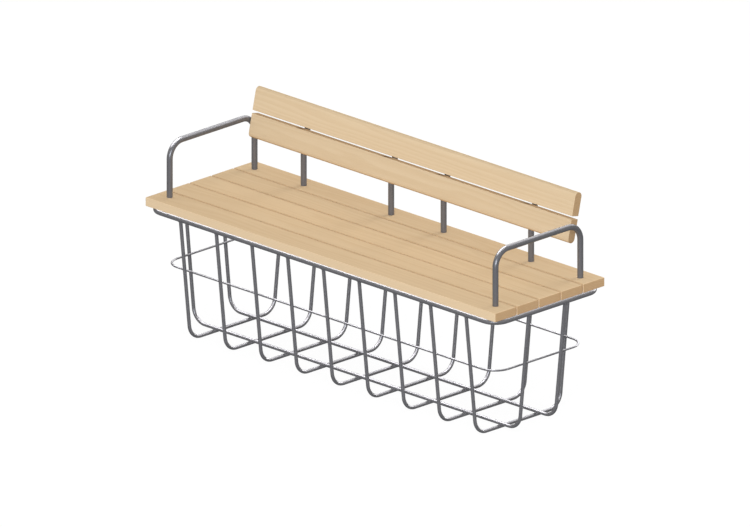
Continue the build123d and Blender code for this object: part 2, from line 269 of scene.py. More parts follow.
class StageLook(bpy.types.PropertyGroup):
    """Floor, light and camera."""

    azimuth: bpy.props.FloatProperty(
        name="Azimuth", description="Camera's turn to the right of the front", subtype="ANGLE",
        default=math.radians(45))
    elevation: bpy.props.FloatProperty(
        name="Elevation", description="Camera's height above the horizon", subtype="ANGLE",
        default=math.asin(1 / 3))
    picture_width: bpy.props.FloatProperty(
        name="Picture width", description="Width that the parallel view takes in", subtype="DISTANCE",
        default=2.4254)
    aim_drop: bpy.props.FloatProperty(
        name="Aim drop", description="From the middle of the seat down to the middle of the picture",
        subtype="DISTANCE", default=0.0847)
    distance: bpy.props.FloatProperty(
        name="Camera distance", description="From the camera to what it aims at", subtype="DISTANCE",
        default=6.0)
    floor_size: bpy.props.FloatProperty(
        name="Floor size", description="Width of the floor", subtype="DISTANCE", default=24.0)
    floor_glow: bpy.props.FloatProperty(
        name="Floor glow", description="Share of the floor's white that is its own light",
        subtype="FACTOR", default=0.93)
    key_power: bpy.props.FloatProperty(
        name="Key light", description="Power of the main soft light", subtype="POWER", default=5600.0)
    rim_power: bpy.props.FloatProperty(
        name="Rim light", description="Power of the low light from behind", subtype="POWER",
        default=1000.0)
    fill_power: bpy.props.FloatProperty(
        name="Cage fill", description="Power of the light on the cage under the deck", subtype="POWER",
        default=630.0)
    top_panel_power: bpy.props.FloatProperty(
        name="Top panel", description="Power of the panel overhead that only gloss shows",
        subtype="POWER", default=2600.0)
    back_panel_power: bpy.props.FloatProperty(
        name="Back panel", description="Power of the panel above the back that only gloss shows",
        subtype="POWER", default=600.0)
    rail_panel_power: bpy.props.FloatProperty(
        name="Rail panel", description="Power of the panel that shows in the armrests' rails",
        subtype="POWER", default=420.0)
    bend_panel_power: bpy.props.FloatProperty(
        name="Bend panel", description="Power of the panel in front that shows in the cage's bends",
        subtype="POWER", default=2600.0)
    cage_panel_power: bpy.props.FloatProperty(
        name="Cage panel", description="Power that the back panel has on the cage beside its own",
        subtype="POWER", default=400.0)


def frame_sizes():
    return bpy.context.scene.bench_frame


def fastener_sizes():
    return bpy.context.scene.bench_fasteners


def middle(node):
    """Centre of a node's box."""
    low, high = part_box(node)
    return (Vector(low) + Vector(high)) / 2


def back_axes():
    """Up the slope of the back and out of the front of its boards."""
    tilt = frame_sizes().back_tilt
    return Vector((0, math.sin(tilt), math.cos(tilt))), Vector((0, -math.cos(tilt), math.sin(tilt)))


def leaning_size(node):
    """Thickness of a board or plate that leans with the back, and its height up the slope."""
    tilt = frame_sizes().back_tilt
    low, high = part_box(node)
    deep, tall = high[1] - low[1], high[2] - low[2]
    thickness = (deep * math.cos(tilt) - tall * math.sin(tilt)) / math.cos(2 * tilt)
    height = (tall * math.cos(tilt) - deep * math.sin(tilt)) / math.cos(2 * tilt)
    return thickness, height


def new_node(tree, kind, **sockets):
    """A shader node with some inputs set or linked, each by its name with _ for a space, or as in_0."""
    node = tree.nodes.new(kind)
    for name, value in sockets.items():
        key = int(name[3:]) if name.startswith("in_") else name.replace("_", " ")
        set_input(tree, node, key, value)
    return node


def set_input(tree, node, key, value):
    socket = node.inputs[key]
    if isinstance(value, bpy.types.NodeSocket):
        tree.links.new(value, socket)
    elif socket.type == "RGBA" and len(value) == 3:
        socket.default_value = (*value, 1.0)
    else:
        socket.default_value = value


def maths(tree, operation, first, second=0.0):
    node = new_node(tree, "ShaderNodeMath", in_0=first, in_1=second)
    node.operation = operation
    return node.outputs[0]


def weigh(tree, value, weight):
    return maths(tree, "MULTIPLY", value, weight)


def add_up(tree, total, *others):
    for other in others:
        total = maths(tree, "ADD", total, other)
    return total


def vector_maths(tree, operation, first, second=(0.0, 0.0, 0.0)):
    node = new_node(tree, "ShaderNodeVectorMath", in_0=first, in_1=second)
    node.operation = operation
    return node.outputs["Value" if operation in ("LENGTH", "DOT_PRODUCT") else "Vector"]


def noise(tree, vector, waves, seed, detail=2.0):
    """Noise with so many waves per metre along each axis."""
    place = vector_maths(tree, "MULTIPLY", vector, waves)
    node = new_node(tree, "ShaderNodeTexNoise")
    node.noise_dimensions = "4D"
    for key, value in (("Vector", place), ("W", seed), ("Scale", 1.0), ("Detail", detail)):
        set_input(tree, node, key, value)
    return node.outputs["Fac"]


def remap(tree, value, low, high, to_low=0.0, to_high=1.0):
    """Smooth step from one value to another while the given value goes from low to high."""
    node = new_node(tree, "ShaderNodeMapRange", in_0=value, in_1=low, in_2=high, in_3=to_low, in_4=to_high)
    node.interpolation_type = "SMOOTHSTEP"
    return node.outputs[0]


def mix_colour(tree, blend, factor, first, second):
    node = tree.nodes.new("ShaderNodeMix")
    node.data_type = "RGBA"
    node.blend_type = blend
    for key, value in ((0, factor), (6, first), (7, second)):
        set_input(tree, node, key, value)
    return node.outputs[2]


def new_group(name, inputs, outputs):
    """An empty shader node group with named sockets, its input sockets and its output node."""
    group = bpy.data.node_groups.new(name, "ShaderNodeTree")
    kinds = {"colour": "NodeSocketColor", "vector": "NodeSocketVector", "value": "NodeSocketFloat"}
    for way, sockets in (("INPUT", inputs), ("OUTPUT", outputs)):
        for socket_name, kind in sockets:
            group.interface.new_socket(socket_name, in_out=way, socket_type=kinds[kind])
    return group, group.nodes.new("NodeGroupInput").outputs, group.nodes.new("NodeGroupOutput")


def timber_figure():
    """Growth rings round the log's heart, long streaks, fibres and pores, and painted shade along the long
    edges.
    """
    if "Timber figure" in bpy.data.node_groups:
        return bpy.data.node_groups["Timber figure"]
    inputs = [
        ("Place", "vector"), ("Facing", "vector"), ("Heart", "vector"), ("Seed", "value"),
        ("Pale", "colour"), ("Dark", "colour"), ("Rings per metre", "value"),
        ("Ring contrast", "value"), ("Figure", "value"), ("End tint", "colour"),
        ("Across", "vector"), ("Low edge", "value"), ("High edge", "value"),
        ("Edge reach", "value"), ("Edge tint", "colour"), ("Side share", "value"),
    ]
    outputs = [("Colour", "colour"), ("Roughness", "value"), ("Height", "value")]
    tree, given, result = new_group("Timber figure", inputs, outputs)
    place = given["Place"]
    seed = given["Seed"]

    wander = noise(tree, place, WANDER_WAVES, seed)
    from_heart = vector_maths(tree, "SUBTRACT", place, given["Heart"])
    from_heart = vector_maths(tree, "MULTIPLY", from_heart, (0.0, 1.0, 1.0))
    radius = vector_maths(tree, "LENGTH", from_heart)
    turns = add_up(tree, weigh(tree, radius, given["Rings per metre"]), weigh(tree, wander, WANDER_RINGS))
    ring = maths(tree, "FRACT", turns)
    late = weigh(tree, remap(tree, ring, *LATE_WOOD_RISE), remap(tree, ring, *LATE_WOOD_FALL, 1.0, 0.0))

    streak = remap(tree, noise(tree, place, STREAK_WAVES, seed, detail=3.0), *STREAK_RISE)
    fibre = noise(tree, place, FIBRE_WAVES, seed)
    pore = remap(tree, noise(tree, place, PORE_WAVES, seed), *PORE_RISE)

    turned = vector_maths(tree, "ABSOLUTE", given["Facing"])
    along = new_node(tree, "ShaderNodeSeparateXYZ", Vector=turned).outputs["X"]
    end = remap(tree, along, *END_RISE)
    rings = weigh(tree, given["Ring contrast"], remap(tree, end, 0.0, 1.0, 1.0, END_RINGS))

    tone = add_up(
        tree, weigh(tree, late, rings), weigh(tree, streak, STREAK_SHARE), weigh(tree, fibre, FIBRE_SHARE),
        weigh(tree, pore, PORE_SHARE))
    tone = weigh(tree, tone, given["Figure"])
    colour = mix_colour(tree, "MIX", tone, given["Pale"], given["Dark"])
    colour = mix_colour(tree, "MULTIPLY", end, colour, given["End tint"])

    # Painted shade near the long edges: on slats only on faces that don't look across the gap, on boards on
    # all faces
    reach = given["Edge reach"]
    spread = vector_maths(tree, "DOT_PRODUCT", place, given["Across"])
    from_low = maths(tree, "DIVIDE", maths(tree, "SUBTRACT", spread, given["Low edge"]), reach)
    from_high = maths(tree, "DIVIDE", maths(tree, "SUBTRACT", given["High edge"], spread), reach)
    near = remap(tree, maths(tree, "MINIMUM", from_low, from_high), 0.0, 1.0, 1.0, 0.0)
    sideways = vector_maths(tree, "DOT_PRODUCT", given["Facing"], given["Across"])
    side = remap(tree, maths(tree, "ABSOLUTE", sideways), *SIDE_RISE)
    unshaded_side = weigh(tree, side, maths(tree, "SUBTRACT", 1.0, given["Side share"]))
    shaded = weigh(tree, near, maths(tree, "SUBTRACT", 1.0, unshaded_side))
    colour = mix_colour(tree, "MULTIPLY", shaded, colour, given["Edge tint"])

    height = maths(tree, "SUBTRACT", weigh(tree, fibre, FIBRE_HEIGHT), weigh(tree, pore, PORE_DEPTH))
    height = add_up(tree, height, weigh(tree, late, RING_HEIGHT))
    tree.links.new(colour, result.inputs["Colour"])
    tree.links.new(remap(tree, tone, 0.0, 1.0, *TIMBER_ROUGHNESS), result.inputs["Roughness"])
    tree.links.new(height, result.inputs["Height"])
    return tree


def zinc_bloom():
    """Crystal patches and cloudy dullness of zinc on steel."""
    if "Zinc bloom" in bpy.data.node_groups:
        return bpy.data.node_groups["Zinc bloom"]
    inputs = [
        ("Place", "vector"), ("Bright", "colour"), ("Dull", "colour"), ("Patches per metre", "value"),
        ("Smooth", "value"), ("Rough", "value"),
    ]
    outputs = [("Colour", "colour"), ("Roughness", "value"), ("Height", "value")]
    tree, given, result = new_group("Zinc bloom", inputs, outputs)
    place = given["Place"]

    crystal = new_node(tree, "ShaderNodeTexVoronoi", Vector=place, Scale=given["Patches per metre"])
    patch = new_node(tree, "ShaderNodeSeparateColor", Color=crystal.outputs["Color"]).outputs["Red"]
    cloud = remap(tree, noise(tree, place, CLOUD_WAVES, seed=1.0, detail=4.0), *CLOUD_RISE)
    grain = noise(tree, place, GRAIN_WAVES, seed=2.0)
    dullness = add_up(
        tree, weigh(tree, patch, PATCH_DULLNESS), weigh(tree, cloud, CLOUD_DULLNESS),
        weigh(tree, grain, GRAIN_DULLNESS))

    colour = mix_colour(tree, "MIX", dullness, given["Bright"], given["Dull"])
    rough = new_node(
        tree, "ShaderNodeMapRange", in_0=dullness, in_3=given["Smooth"], in_4=given["Rough"])
    height = add_up(tree, grain, weigh(tree, patch, PATCH_HEIGHT))
    tree.links.new(colour, result.inputs["Colour"])
    tree.links.new(rough.outputs[0], result.inputs["Roughness"])
    tree.links.new(height, result.inputs["Height"])
    return tree


def new_material(name):
    """A material with only a Principled shader, its tree and that shader."""
    material = bpy.data.materials.new(name)
    material.use_nodes = True
    tree = material.node_tree
    return material, tree, tree.nodes["Principled BSDF"]


def place_group(tree, group, **sockets):
    """Outputs of a node group placed in a material, its inputs set by name with _ for a space."""
    node = tree.nodes.new("ShaderNodeGroup")
    node.node_tree = group
    for name, value in sockets.items():
        set_input(tree, node, name.replace("_", " "), value)
    return node.outputs


def finish_shader(tree, shader, figure, relief, strength):
    """Links a figure's colour, roughness and height to the shader."""
    tree.links.new(figure["Colour"], shader.inputs["Base Color"])
    tree.links.new(figure["Roughness"], shader.inputs["Roughness"])
    bump = new_node(tree, "ShaderNodeBump", Strength=strength, Distance=relief, Height=figure["Height"])
    tree.links.new(bump.outputs["Normal"], shader.inputs["Normal"])


def tinted(colour, tint):
    return [part * share for part, share in zip(colour, tint)]


def long_edges(node):
    """The way across a slat or board, and where its two long edges lie that way. Edges without painted shade
    lie far off.
    """
    board = node in BOARDS
    if board:
        across = back_axes()[0]
        level = middle(node).dot(across)
        height = leaning_size(node)[1]
        low_edge, high_edge = level - height / 2, level + height / 2
    else:
        low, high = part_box(node)
        across = Vector((0, 1, 0))
        low_edge, high_edge = low[1], high[1]
    # The seat's outer edges and all board edges but the lower board's bottom one get no painted shade
    if node in (SLATS[0], BOARDS[1]):
        low_edge -= EDGE_SHADE_OFF
    if board or node == SLATS[-1]:
        high_edge += EDGE_SHADE_OFF
    return across, low_edge, high_edge


def timber_material(node, log, seed):
    """Timber of one slat or board, cut from its own place in a log."""
    finish = bpy.context.scene.bench_timber
    board = node in BOARDS
    behind, above, paleness = log
    tint = [paleness * share for share in (finish.board_tint if board else (1, 1, 1))]
    across, low_edge, high_edge = long_edges(node)
    material, tree, shader = new_material(f"timber_{node}")
    spot = tree.nodes.new("ShaderNodeTexCoord").outputs
    centre = middle(node)
    figure = place_group(
        tree, timber_figure(), Place=spot["Object"], Facing=spot["Normal"], Seed=seed,
        Heart=(0.0, centre.y + behind, centre.z + above),
        Pale=tinted(finish.pale, tint), Dark=tinted(finish.dark, tint),
        Rings_per_metre=1 / finish.ring_spacing, Ring_contrast=finish.ring_share,
        Figure=finish.board_figure if board else 1.0, End_tint=list(finish.end_tint),
        # The edge settings paint shade along the long edges
        Across=across, Low_edge=low_edge, High_edge=high_edge, Edge_reach=finish.edge_reach,
        Edge_tint=list(finish.edge_shade), Side_share=float(board))
    finish_shader(tree, shader, figure, finish.relief, TIMBER_BUMP)
    shader.inputs["Specular IOR Level"].default_value = 0.0
    return material


def zinc_material(name, bright, dull, smooth, rough, metallic):
    """Steel under zinc, between two colours and two roughnesses, made once under its name."""
    if name in bpy.data.materials:
        return bpy.data.materials[name]
    finish = bpy.context.scene.bench_steel
    material, tree, shader = new_material(name)
    spot = tree.nodes.new("ShaderNodeTexCoord").outputs["Object"]
    figure = place_group(
        tree, zinc_bloom(), Place=spot, Bright=bright, Dull=dull, Smooth=smooth, Rough=rough,
        Patches_per_metre=1 / finish.patch_size)
    finish_shader(tree, shader, figure, finish.relief, ZINC_BUMP)
    shader.inputs["Metallic"].default_value = metallic
    return material


def frame_steel():
    finish = bpy.context.scene.bench_steel
    return zinc_material("frame_zinc", finish.bright, finish.dull, smooth=0.20, rough=0.30, metallic=0.25)


def weld_steel():
    finish = bpy.context.scene.bench_steel
    return zinc_material("weld_zinc", finish.weld, finish.dull, smooth=0.30, rough=0.42, metallic=0.25)


def plated_steel():
    finish = bpy.context.scene.bench_steel
    return zinc_material("plated_zinc", finish.plated, finish.bright, smooth=0.22, rough=0.34, metallic=0.9)


def finish_node(node, material):
    """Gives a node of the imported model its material."""
    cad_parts[node].data.materials[0] = material


def settle(piece, name, material):
    """Names a finished piece, gives it its material and sets it on the frame."""
    piece.name = name
    piece.data.name = name
    piece.data.materials.clear()
    piece.data.materials.append(material)
    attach(piece, "root")
    return piece


def deselect():
    bpy.ops.object.select_all(action="DESELECT")


def join(pieces):
    """Joins pieces into the first one."""
    deselect()
    for piece in pieces:
        piece.select_set(True)
    bpy.context.view_layer.objects.active = pieces[0]
    bpy.ops.object.join()
    return pieces[0]


def copy_to_places(model, places):
    """Copies a model to each place, joins the copies into one piece and removes the model."""
    copies = []
    for place in places:
        copy = model.copy()
        copy.data = model.data.copy()
        copy.data.transform(place)
        bpy.context.scene.collection.objects.link(copy)
        copies.append(copy)
    bpy.data.objects.remove(model)
    piece = join(copies)
    bpy.ops.object.shade_smooth_by_angle(angle=SMOOTH_ANGLE)
    return piece


def placed(point, across, outward, up):
    """Place of a model at a point, with the ways that its X, Y and Z axes then point."""
    return Matrix.Translation(point) @ Matrix((across, outward, up)).transposed().to_4x4()


def facing(point, outward):
    """Place of a model whose +Y points outwards along the ground, its origin at a point."""
    return placed(point, Vector((outward.y, -outward.x, 0)), outward, (0, 0, 1))


def ring_line():
    """Half the seat ring's length and depth and its level, all on its centreline."""
    low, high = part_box("seat_ring")
    tube = frame_sizes().tube
    return high[0] - tube, high[1] - tube, low[2] + tube


def leg_inset(level):
    """How far inside the seat ring's centreline a cage leg's centreline is at a level."""
    sizes = frame_sizes()
    return sizes.leg_inset + (ring_line()[2] - level) * math.tan(sizes.leg_lean)


def leg_lines():
    """For each cage leg, the point of the seat ring above it and the way that it faces, on the ground."""
    half_x, half_y, level = ring_line()
    lines = []
    for side in (-1, 1):
        outward = Vector((0, side, 0))
        lines += [(Vector((middle(hoop).x, side * half_y, level)), outward) for hoop in HOOPS]
    for side in (-1, 1):
        outward = Vector((side, 0, 0))
        lines += [(Vector((side * half_x, middle(runner).y, level)), outward) for runner in RUNNERS]
    return lines


def saddle_drop(angle):
    """Along a cage leg, from the seat ring's level down to the ring's skin, at an angle round the leg."""
    sizes = frame_sizes()
    lean = sizes.leg_lean
    start_y = -sizes.leg_inset + sizes.bar * math.cos(angle) * math.cos(lean)
    start_z = -sizes.bar * math.cos(angle) * math.sin(lean)
    half = -start_y * math.sin(lean) - start_z * math.cos(lean)
    return -half + math.sqrt(half ** 2 - start_y ** 2 - start_z ** 2 + sizes.tube ** 2)


def leg_weld():
    """Rippled bead round the top of a cage leg, following the seat ring's skin. +Y faces outwards."""
    sizes = frame_sizes()
    deselect()
    bpy.ops.mesh.primitive_torus_add(
        major_radius=sizes.bar, minor_radius=sizes.bead, major_segments=36, minor_segments=8)
    bead = bpy.context.object
    for vertex in bead.data.vertices:
        angle = math.atan2(vertex.co.x, vertex.co.y)
        core = Vector((math.sin(angle), math.cos(angle), 0)) * sizes.bar
        swell = 1 + sizes.ripple * math.cos(LEG_BEAD_RIPPLES * angle)
        vertex.co = core + (vertex.co - core) * swell
        vertex.co.z -= saddle_drop(angle)
    lean = Matrix.Rotation(-sizes.leg_lean, 4, "X")
    bead.data.transform(Matrix.Translation((0, -sizes.leg_inset, 0)) @ lean)
    return bead


def lump(shape, unit):
    """Lump of weld with an uneven skin, centred at the origin. Its half sizes are in a unit."""
    deselect()
    bpy.ops.mesh.primitive_uv_sphere_add(segments=14, ring_count=8, radius=1)
    weld = bpy.context.object
    width, depth, height = [size * unit for size in shape]
    ripple = frame_sizes().ripple
    wave_x, wave_y = LUMP_WAVES
    shift_x, shift_y = LUMP_SHIFTS
    for vertex in weld.data.vertices:
        uneven = ripple * math.sin(wave_x * vertex.co.x + shift_x)
        swell = 1 + uneven * math.cos(wave_y * vertex.co.y + shift_y)
        vertex.co = Vector((vertex.co.x * width, vertex.co.y * depth, vertex.co.z * height)) * swell
    return weld


def straight_bead(length, radius):
    """Rippled bead along X, tapered at its ends, centred at the origin."""
    deselect()
    bpy.ops.mesh.primitive_uv_sphere_add(segments=10, ring_count=28, radius=1)
    bead = bpy.context.object
    bead.data.transform(Matrix.Rotation(math.radians(90), 4, "Y"))
    ripple = frame_sizes().ripple
    ripples = length / (RIPPLE_LENGTH * radius)
    for vertex in bead.data.vertices:
        along = math.asin(max(-1.0, min(1.0, vertex.co.x))) / (math.pi / 2)
        swell = radius * (1 + ripple * math.cos(math.pi * ripples * along))
        round_off = min(1.0, TAPER * math.sqrt(max(0.0, 1 - abs(along))))
        reach = math.hypot(vertex.co.y, vertex.co.z)
        share = round_off * swell / reach if reach > POLE_RADIUS else 0.0
        vertex.co = Vector((along * length / 2, vertex.co.y * share, vertex.co.z * share))
    return bead


def cylinder(sides, radius, low, high):
    """Upright cylinder or prism round the origin, between two levels."""
    deselect()
    bpy.ops.mesh.primitive_cylinder_add(
        vertices=sides, radius=radius, depth=high - low, location=(0, 0, (low + high) / 2))
    return bpy.context.object


def round_head_screw(steel):
    """Round-head screw with a hexagon socket, pointing up, its head under the level zero."""
    sizes = fastener_sizes()
    under = -sizes.head_height
    head = cylinder(sides=28, radius=sizes.head, low=under, high=0)
    bpy.ops.object.mode_set(mode="EDIT")
    bpy.ops.mesh.select_all(action="DESELECT")
    bpy.ops.object.mode_set(mode="OBJECT")
    for edge in head.data.edges:
        edge.select = all(head.data.vertices[end].co.z < 0 for end in edge.vertices)
    bpy.ops.object.mode_set(mode="EDIT")
    bpy.ops.mesh.bevel(offset=HEAD_ROUNDING * sizes.head_height, segments=4)
    bpy.ops.object.mode_set(mode="OBJECT")
    bpy.ops.object.transform_apply(location=True, rotation=True, scale=True)
    depth = sizes.socket_depth
    socket = cylinder(sides=6, radius=sizes.socket, low=under - depth, high=under + depth)
    boolean(head, socket, "DIFFERENCE")
    shank = cylinder(sides=12, radius=sizes.screw, low=0, high=steel + sizes.screw_bite)
    return join([head, shank])


def boolean(piece, cutter, operation):
    """Cuts a piece by another, which is then removed, and merges the cut's doubled points."""
    deselect()
    piece.select_set(True)
    bpy.context.view_layer.objects.active = piece
    modifier = piece.modifiers.new("cut", "BOOLEAN")
    modifier.operation = operation
    modifier.object = cutter
    bpy.ops.object.modifier_apply(modifier=modifier.name)
    bpy.data.objects.remove(cutter)
    bpy.ops.object.mode_set(mode="EDIT")
    bpy.ops.mesh.select_all(action="SELECT")
    bpy.ops.mesh.remove_doubles(threshold=MERGE_DISTANCE)
    bpy.ops.mesh.dissolve_degenerate(threshold=MERGE_DISTANCE)
    bpy.ops.object.mode_set(mode="OBJECT")


def hexagon_bolt(grip):
    """Hexagon bolt with a chamfered head, pointing up, its head under the level zero."""
    sizes = fastener_sizes()
    height = sizes.bolt_head_height
    head = cylinder(sides=6, radius=sizes.bolt_head / math.sqrt(3), low=-height, high=0)
    bpy.ops.object.transform_apply(location=True, rotation=True, scale=True)
    low = CHAMFER_START * sizes.bolt_head / 2
    high = low + height / math.tan(CHAMFER_ANGLE)
    deselect()
    bpy.ops.mesh.primitive_cone_add(
        vertices=48, radius1=low, radius2=high, depth=height, location=(0, 0, -height / 2))
    boolean(head, bpy.context.object, "INTERSECT")
    shank = cylinder(sides=20, radius=sizes.bolt, low=0, high=grip)
    return join([head, shank])


class BENCH_OT_timber(bpy.types.Operator):
    """Oil the slats and boards, each cut from its own place in a log"""

    bl_idname = "bench.timber"
    bl_label = "Timber"

    def execute(self, context):
        for number, (node, log) in enumerate(zip(TIMBER, LOGS)):
            finish_node(node, timber_material(node, log, LOG_SEED_STEP * number))
        return {"FINISHED"}


class BENCH_OT_frame_steel(bpy.types.Operator):
    """Galvanise the tubes, bars, bearers and plates"""

    bl_idname = "bench.frame_steel"
    bl_label = "Frame steel"

    def execute(self, context):
        for node in ROUND_STEEL + FLAT_STEEL:
            finish_node(node, frame_steel())
        return {"FINISHED"}


class BENCH_OT_leg_welds(bpy.types.Operator):
    """Weld the cage legs to the seat ring"""

    bl_idname = "bench.leg_welds"
    bl_label = "Leg welds"

    def execute(self, context):
        places = [facing(point, outward) for point, outward in leg_lines()]
        settle(copy_to_places(leg_weld(), places), "leg_welds", weld_steel())
        return {"FINISHED"}


class BENCH_OT_crossing_welds(bpy.types.Operator):
    """Weld the runners to the hoops where they cross"""

    bl_idname = "bench.crossing_welds"
    bl_label = "Crossing welds"

    def execute(self, context):
        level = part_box(RUNNERS[0])[0][2]
        places = [Matrix.Translation((middle(hoop).x, middle(runner).y, level))
                  for hoop in HOOPS for runner in RUNNERS]
        weld = lump(CROSSING_LUMP_BARS, frame_sizes().bar)
        settle(copy_to_places(weld, places), "crossing_welds", weld_steel())
        return {"FINISHED"}


class BENCH_OT_belt_welds(bpy.types.Operator):
    """Weld the belt to the inside of the cage legs"""

    bl_idname = "bench.belt_welds"
    bl_label = "Belt welds"

    def execute(self, context):
        sizes = frame_sizes()
        level = middle("cage_belt").z
        inset = leg_inset(level) + sizes.bar / math.cos(sizes.leg_lean)
        places = []
        for point, outward in leg_lines():
            touch = Vector((point.x, point.y, level)) - outward * inset
            places.append(facing(touch, outward))
        weld = lump(BELT_LUMP_BEADS, sizes.small_bead)
        settle(copy_to_places(weld, places), "belt_welds", weld_steel())
        return {"FINISHED"}


class BENCH_OT_bearer_welds(bpy.types.Operator):
    """Weld the ends of the bearers to the seat ring"""

    bl_idname = "bench.bearer_welds"
    bl_label = "Bearer welds"

    def execute(self, context):
        bead = frame_sizes().bead
        places = []
        for bearer in BEARERS[1:-1]:
            low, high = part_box(bearer)
            for end in (low[1], high[1]):
                inner = end - math.copysign(BEARER_BEAD_INWARDS * bead, end)
                below = low[2] - BEARER_BEAD_BELOW * bead
                places.append(Matrix.Translation((middle(bearer).x, inner, below)))
        low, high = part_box(BEARERS[1])
        weld = straight_bead(high[0] - low[0] - 2 * bead, bead)
        settle(copy_to_places(weld, places), "bearer_welds", weld_steel())
        return {"FINISHED"}


class BENCH_OT_plate_welds(bpy.types.Operator):
    """Weld the board plates to the back hoops, along both sides of the tube"""

    bl_idname = "bench.plate_welds"
    bl_label = "Plate welds"

    def execute(self, context):
        sizes = frame_sizes()
        up, front = back_axes()
        along = Vector((1, 0, 0))
        from_tube = PLATE_BEAD_ASIDE_TUBES * sizes.tube
        behind = front * PLATE_BEAD_BEHIND * sizes.bead
        places = []
        for plates, run, aside in ((LEG_PLATES, up, along), (RAIL_PLATES, along, up)):
            for plate in plates:
                for side in (-1, 1):
                    point = middle(plate) + aside * side * from_tube - behind
                    places.append(placed(point, run, front.cross(run), front))
        height = leaning_size(LEG_PLATES[0])[1]
        weld = straight_bead(PLATE_BEAD_LENGTH * height, PLATE_BEAD_WIDTH * sizes.bead)
        settle(copy_to_places(weld, places), "plate_welds", weld_steel())
        return {"FINISHED"}


class BENCH_OT_slat_screws(bpy.types.Operator):
    """Screw the slats to the bearers from below"""

    bl_idname = "bench.slat_screws"
    bl_label = "Slat screws"

    def execute(self, context):
        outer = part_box("slat_screws")[1][1] - fastener_sizes().head
        rows = [-outer, *[middle(slat).y for slat in SLATS[1:-1]], outer]
        low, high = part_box(BEARERS[0])
        places = [Matrix.Translation((middle(bearer).x, y, low[2])) for bearer in BEARERS for y in rows]
        screws = copy_to_places(round_head_screw(high[2] - low[2]), places)
        settle(screws, "slat_screws_socket", plated_steel())
        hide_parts("slat_screws")
        return {"FINISHED"}


class BENCH_OT_board_screws(bpy.types.Operator):
    """Screw the boards to their plates from behind"""

    bl_idname = "bench.board_screws"
    bl_label = "Board screws"

    def execute(self, context):
        up, front = back_axes()
        along = Vector((1, 0, 0))
        from_middle = fastener_sizes().plate_screw_spacing / 2
        thickness = leaning_size(LEG_PLATES[0])[0]
        places = []
        for plates, aside in ((LEG_PLATES, along), (RAIL_PLATES, up)):
            for plate in plates:
                for side in (-1, 1):
                    point = middle(plate) + aside * side * from_middle - front * thickness / 2
                    places.append(placed(point, along, front.cross(along), front))
        screws = copy_to_places(round_head_screw(thickness), places)
        settle(screws, "board_screws_socket", plated_steel())
        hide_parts("board_screws")
        return {"FINISHED"}


class BENCH_OT_leg_bolts(bpy.types.Operator):
    """Bolt the legs to the bearers from below, with plated washers and plugs"""

    bl_idname = "bench.leg_bolts"
    bl_label = "Leg bolts"

    def execute(self, context):
        tube = frame_sizes().tube
        leg_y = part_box(ARMRESTS[0])[1][1] - tube
        spots = [(middle(arm).x, side * leg_y) for arm in ARMRESTS for side in (-1, 1)]
        for hoop in BACK_HOOPS:
            low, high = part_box(hoop)
            spots += [(low[0] + tube, leg_y), (high[0] - tube, leg_y)]
        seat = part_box("leg_washers")[0][2]
        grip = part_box("leg_bolts")[1][2] - seat
        places = [Matrix.Translation((x, y, seat)) for x, y in spots]
        bolts = copy_to_places(hexagon_bolt(grip), places)
        settle(bolts, "leg_bolts_hexagon", plated_steel())
        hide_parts("leg_bolts")
        for node in ("leg_washers", "leg_plugs"):
            finish_node(node, plated_steel())
        return {"FINISHED"}


def white_floor(size, glow):
    """Plain pale floor that lights itself in part, so that shadows on it stay faint."""
    deselect()
    bpy.ops.mesh.primitive_plane_add(size=size)
    floor = bpy.context.object
    floor.name = "floor"
    material, tree, shader = new_material("floor_white")
    shader.inputs["Base Color"].default_value = (1 - glow, 1 - glow, 1 - glow, 1)
    shader.inputs["Specular IOR Level"].default_value = 0.0
    shader.inputs["Emission Color"].default_value = (1, 1, 1, 1)
    shader.inputs["Emission Strength"].default_value = glow
    floor.data.materials.append(material)
    floor.visible_diffuse = False
    floor.visible_glossy = False


def soft_light(name, direction, distance, size, power, colour, aim=BENCH_MIDDLE):
    """Oval area light of a width and depth that shines from a direction on what it aims at."""
    light = bpy.data.lights.new(name, "AREA")
    light.shape = "ELLIPSE"
    light.size, light.size_y = size
    light.energy = power
    light.color = colour
    lamp = bpy.data.objects.new(name, light)
    bpy.context.scene.collection.objects.link(lamp)
    direction = Vector(direction).normalized()
    lamp.location = Vector(aim) + direction * distance
    lamp.rotation_euler = direction.to_track_quat("Z", "Y").to_euler()
    lamp.visible_camera = False
    return lamp


def light_group(name, nodes, state):
    """Nodes that a lamp is kept to, or that it leaves out, as the state says."""
    group = bpy.data.collections.new(name)
    for node in nodes:
        group.objects.link(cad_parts.get(node) or bpy.data.objects[node])
    for member in group.collection_objects:
        member.light_linking.link_state = state
    return group


def pass_by(lamp, through, unlit=()):
    """Lets a lamp's light through some nodes, and keeps it off those that it isn't to light."""
    linking = lamp.light_linking
    linking.blocker_collection = light_group(f"{lamp.name}_goes_through", through, "EXCLUDE")
    if unlit:
        linking.receiver_collection = light_group(f"{lamp.name}_keeps_off", unlit, "EXCLUDE")


def reflector(name, power, direction, size, nodes, state, aim=BENCH_MIDDLE):
    """Bright panel that only gloss shows, on these nodes alone or on all others. Only the floor hides it."""
    panel = soft_light(name, direction, PANEL_DISTANCE, size, power, PANEL_COLOUR, aim)
    panel.visible_diffuse = False
    panel.light_linking.receiver_collection = light_group(f"{name}_shows", nodes, state)
    panel.light_linking.blocker_collection = light_group(f"{name}_hides", ["floor"], "INCLUDE")


